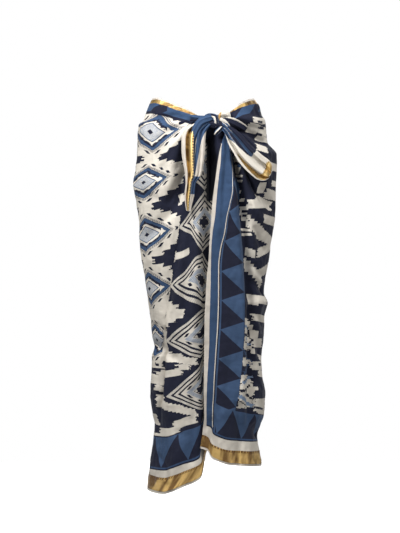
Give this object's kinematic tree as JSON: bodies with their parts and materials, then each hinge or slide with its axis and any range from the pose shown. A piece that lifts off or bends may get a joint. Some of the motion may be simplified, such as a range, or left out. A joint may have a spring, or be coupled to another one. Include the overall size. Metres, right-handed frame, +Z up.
{
  "type": "sarong",
  "caption": "Worn wrap skirt of printed cotton voile, knotted at the front waist, with gold ribbon edges and two hanging corner tails.",
  "frame": {"origin": "middle of the waist, where the wearer holds the cloth", "axes": "+Z up out of the waist, -Y towards the front, +X to the right of someone looking at the front"},
  "size_m": [0.3786, 0.2687, 1.048],
  "materials": {
    "printed_voile": "matt printed cotton voile, navy, mid blue and cream",
    "plain_border": "matt cream cotton voile",
    "gold_ribbon": "woven metallic gold ribbon with a soft shine"
  },
  "bodies": {
    "root": {"cloth_over_panel": "printed_voile", "cloth_right_back": "printed_voile", "cloth_left_back": "printed_voile", "cloth_under_panel": "printed_voile", "waist_border_left": "plain_border", "waist_border_right": "plain_border", "waist_ribbon_left": "gold_ribbon", "waist_ribbon_right": "gold_ribbon", "hem_ribbon_over_panel": "gold_ribbon", "hem_ribbon_right_back": "gold_ribbon", "hem_ribbon_left_back": "gold_ribbon", "hem_ribbon_under_panel": "gold_ribbon", "knot": "printed_voile", "tail_left": "printed_voile", "tail_right": "printed_voile", "tail_ribbon_left": "gold_ribbon", "tail_ribbon_right": "gold_ribbon"}
  },
  "joints": []
}
